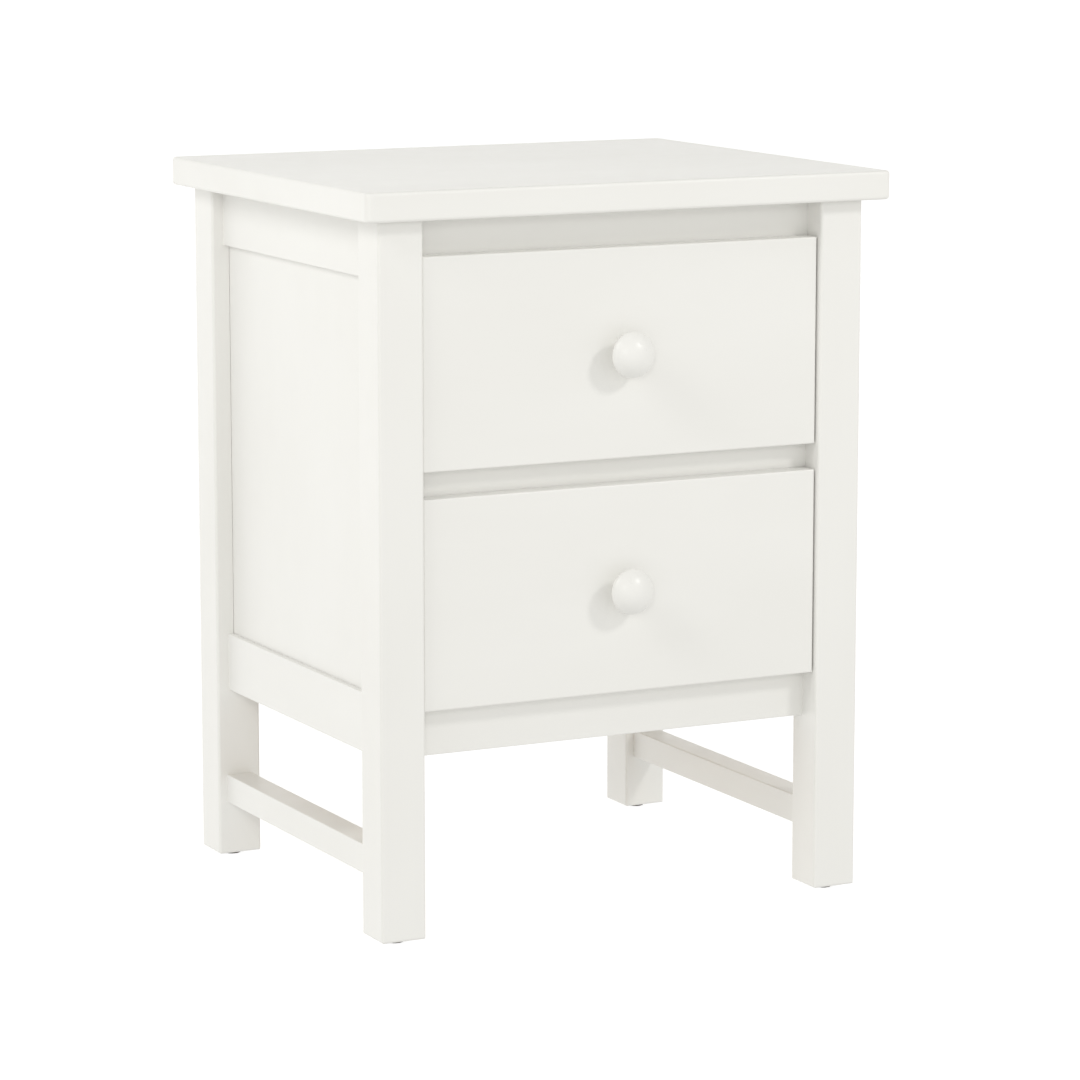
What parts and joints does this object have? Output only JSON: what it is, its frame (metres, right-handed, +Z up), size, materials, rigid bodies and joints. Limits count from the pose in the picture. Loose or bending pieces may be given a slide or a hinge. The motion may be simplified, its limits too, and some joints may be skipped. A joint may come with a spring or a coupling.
{
  "type": "nightstand with drawers",
  "caption": "Square-legged nightstand with an overhanging top, stacked inset drawers with round knobs, panelled sides and low side stretchers.",
  "frame": {"origin": "on the floor, under the middle of the whole piece with its knobs, midway between the knobs' front and the top's back edge", "axes": "+Z up, -Y the side with the drawers, +X to the right of a person who faces the drawers"},
  "size_m": [0.505, 0.434, 0.648],
  "materials": {
    "painted_wood": "satin white paint",
    "painted_board": "satin white paint on thin board",
    "drawer_wood": "clear-sealed light wood",
    "cleat_wood": "bare light wood",
    "plywood": "clear-sealed plywood",
    "slide_steel": "bright zinc plated",
    "ball_cage_steel": "oiled steel balls in strips",
    "screw_steel": "zinc plated",
    "glide_plastic": "matt dark brown"
  },
  "bodies": {
    "case": {"top": "painted_wood", "leg_front_left": "painted_wood", "leg_front_right": "painted_wood", "leg_back_left": "painted_wood", "leg_back_right": "painted_wood", "front_bottom_rail": "painted_wood", "front_middle_rail": "painted_wood", "front_top_rail": "painted_wood", "back_bottom_rail": "painted_wood", "back_top_rail": "painted_wood", "back_panel": "painted_board", "side_top_rail_left": "painted_wood", "side_top_rail_right": "painted_wood", "side_bottom_rail_left": "painted_wood", "side_bottom_rail_right": "painted_wood", "side_panel_left": "painted_wood", "side_panel_right": "painted_wood", "stretcher_left": "painted_wood", "stretcher_right": "painted_wood", "top_screws": "screw_steel", "glides": "glide_plastic", "upper_slide_cleat_left": "cleat_wood", "upper_slide_cleat_right": "cleat_wood", "lower_slide_cleat_left": "cleat_wood", "lower_slide_cleat_right": "cleat_wood", "upper_cabinet_member_left": "slide_steel", "upper_cabinet_member_right": "slide_steel", "lower_cabinet_member_left": "slide_steel", "lower_cabinet_member_right": "slide_steel", "cabinet_member_screws": "screw_steel"},
    "upper_middles": {"upper_middle_members": "slide_steel"},
    "upper_outer_cages": {"upper_outer_ball_cages": "ball_cage_steel"},
    "upper_inner_cages": {"upper_inner_ball_cages": "ball_cage_steel"},
    "lower_middles": {"lower_middle_members": "slide_steel"},
    "lower_outer_cages": {"lower_outer_ball_cages": "ball_cage_steel"},
    "lower_inner_cages": {"lower_inner_ball_cages": "ball_cage_steel"},
    "upper_drawer": {"upper_drawer_front": "painted_wood", "upper_box_front": "drawer_wood", "upper_box_back": "drawer_wood", "upper_box_side_left": "drawer_wood", "upper_box_side_right": "drawer_wood", "upper_box_bottom": "plywood", "upper_knob": "painted_wood", "upper_knob_screw": "screw_steel", "upper_front_screws": "screw_steel", "upper_drawer_member_left": "slide_steel", "upper_drawer_member_right": "slide_steel", "upper_member_screws": "screw_steel"},
    "lower_drawer": {"lower_drawer_front": "painted_wood", "lower_box_front": "drawer_wood", "lower_box_back": "drawer_wood", "lower_box_side_left": "drawer_wood", "lower_box_side_right": "drawer_wood", "lower_box_bottom": "plywood", "lower_knob": "painted_wood", "lower_knob_screw": "screw_steel", "lower_front_screws": "screw_steel", "lower_drawer_member_left": "slide_steel", "lower_drawer_member_right": "slide_steel", "lower_member_screws": "screw_steel"}
  },
  "joints": [
    {"name": "upper_drawer_slide", "type": "slide", "parent": "case", "child": "upper_drawer", "axis": [0, -1, 0], "range_m": [0, 0.285]},
    {"name": "upper_middles_slide", "type": "slide", "parent": "case", "child": "upper_middles", "axis": [0, -1, 0], "range_m": [0, 0.1425]},
    {"name": "upper_outer_cages_slide", "type": "slide", "parent": "case", "child": "upper_outer_cages", "axis": [0, -1, 0], "range_m": [0, 0.07125]},
    {"name": "upper_inner_cages_slide", "type": "slide", "parent": "case", "child": "upper_inner_cages", "axis": [0, -1, 0], "range_m": [0, 0.21375]},
    {"name": "lower_drawer_slide", "type": "slide", "parent": "case", "child": "lower_drawer", "axis": [0, -1, 0], "range_m": [0, 0.285]},
    {"name": "lower_middles_slide", "type": "slide", "parent": "case", "child": "lower_middles", "axis": [0, -1, 0], "range_m": [0, 0.1425]},
    {"name": "lower_outer_cages_slide", "type": "slide", "parent": "case", "child": "lower_outer_cages", "axis": [0, -1, 0], "range_m": [0, 0.07125]},
    {"name": "lower_inner_cages_slide", "type": "slide", "parent": "case", "child": "lower_inner_cages", "axis": [0, -1, 0], "range_m": [0, 0.21375]}
  ],
  "couplings": [
    {"joint": "upper_middles_slide", "follows": "upper_drawer_slide", "ratio": 0.5},
    {"joint": "upper_outer_cages_slide", "follows": "upper_drawer_slide", "ratio": 0.25},
    {"joint": "upper_inner_cages_slide", "follows": "upper_drawer_slide", "ratio": 0.75},
    {"joint": "lower_middles_slide", "follows": "lower_drawer_slide", "ratio": 0.5},
    {"joint": "lower_outer_cages_slide", "follows": "lower_drawer_slide", "ratio": 0.25},
    {"joint": "lower_inner_cages_slide", "follows": "lower_drawer_slide", "ratio": 0.75}
  ]
}
